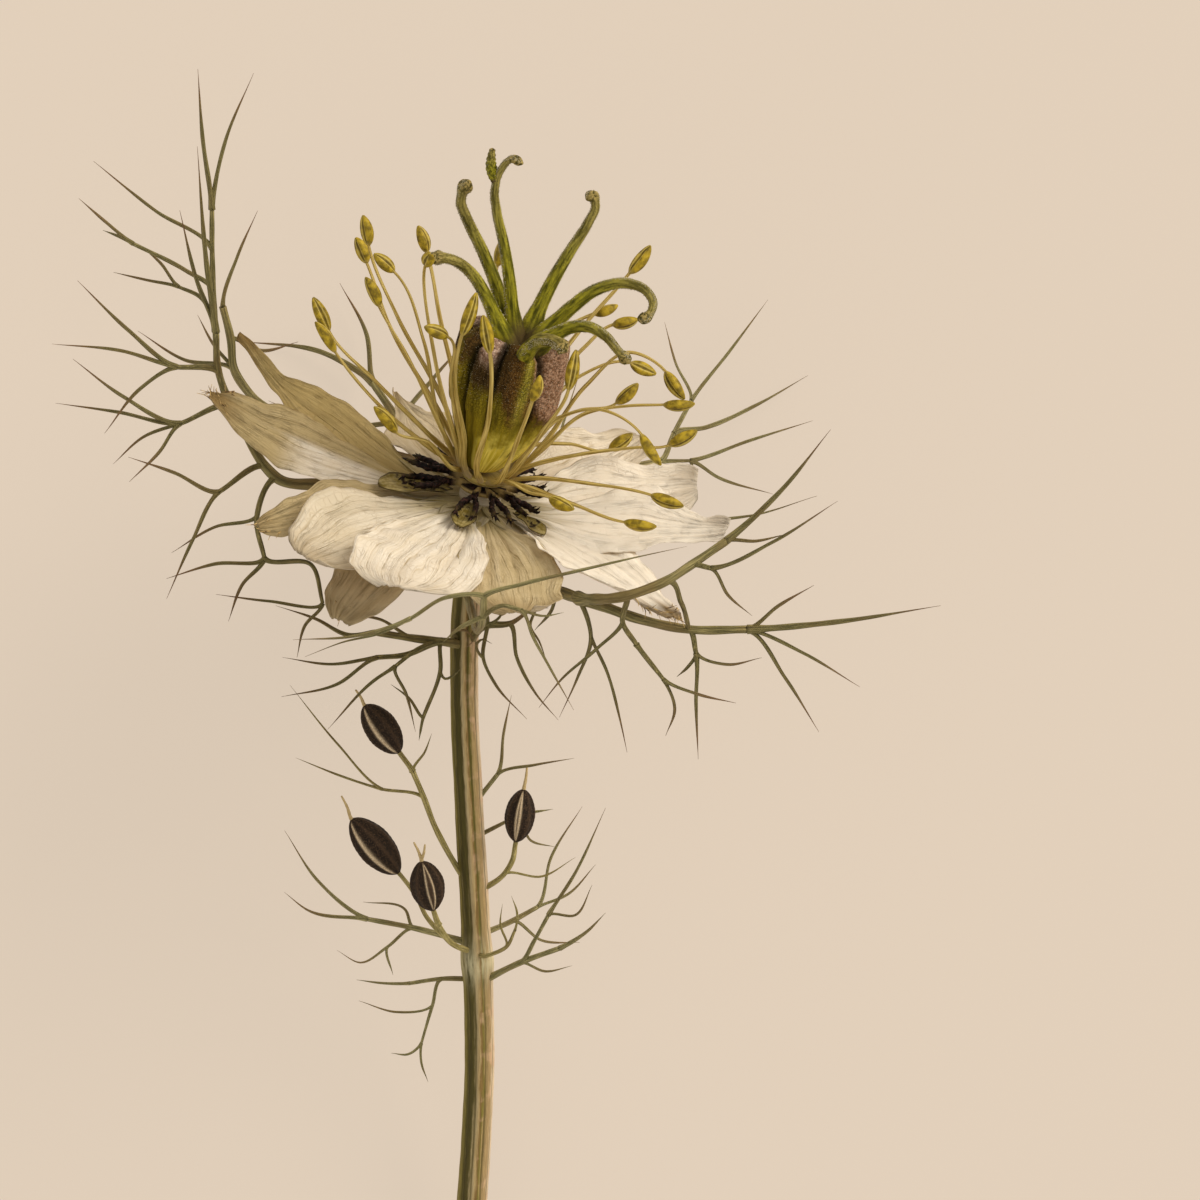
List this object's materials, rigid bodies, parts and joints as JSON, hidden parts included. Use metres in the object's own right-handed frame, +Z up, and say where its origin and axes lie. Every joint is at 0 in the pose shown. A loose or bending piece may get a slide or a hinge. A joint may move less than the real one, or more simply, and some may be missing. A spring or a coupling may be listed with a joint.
{
  "type": "nigella flower stem with seed pod",
  "caption": "Cut love-in-a-mist stem lying down: pale bloom with dark nectaries and stamens, young seed pod with horn-like styles, threadlike bracts and small dark seed cases.",
  "frame": {"origin": "middle of the lying stem's footprint, on the surface that it lies on", "axes": "+Y along the stem from its cut end to the flower, +X to the flower's right as seen from above, +Z up from the surface, towards the flower's front"},
  "size_m": [0.0787, 0.1174, 0.0505],
  "materials": {
    "stem": "matt, ribbed",
    "petal": "matt, thin, veined",
    "nectary": "satin",
    "stamen": "matt",
    "pod": "matt, downy on the shoulders",
    "bract": "matt",
    "stalk": "matt",
    "seed_case": "matt, finely granular"
  },
  "bodies": {
    "root": {"stem": "stem", "petals": "petal", "nectaries": "nectary", "stamens": "stamen", "pod": "pod", "bract_left": "bract", "bract_left_back": "bract", "bract_back": "bract", "bract_right_back": "bract", "bract_right": "bract", "bract_front": "bract", "bract_lower_left": "bract", "bract_lower_right": "bract", "leaf_right": "bract", "leaf_right_back": "bract", "leaf_left": "bract", "leaf_lower": "bract", "twig_right": "bract", "twig_right_back": "bract", "stalk_upper": "stalk", "stalk_lower": "stalk", "stalk_right": "stalk", "seed_case_1": "seed_case", "seed_case_2": "seed_case", "seed_case_3": "seed_case", "seed_case_4": "seed_case"}
  },
  "joints": []
}
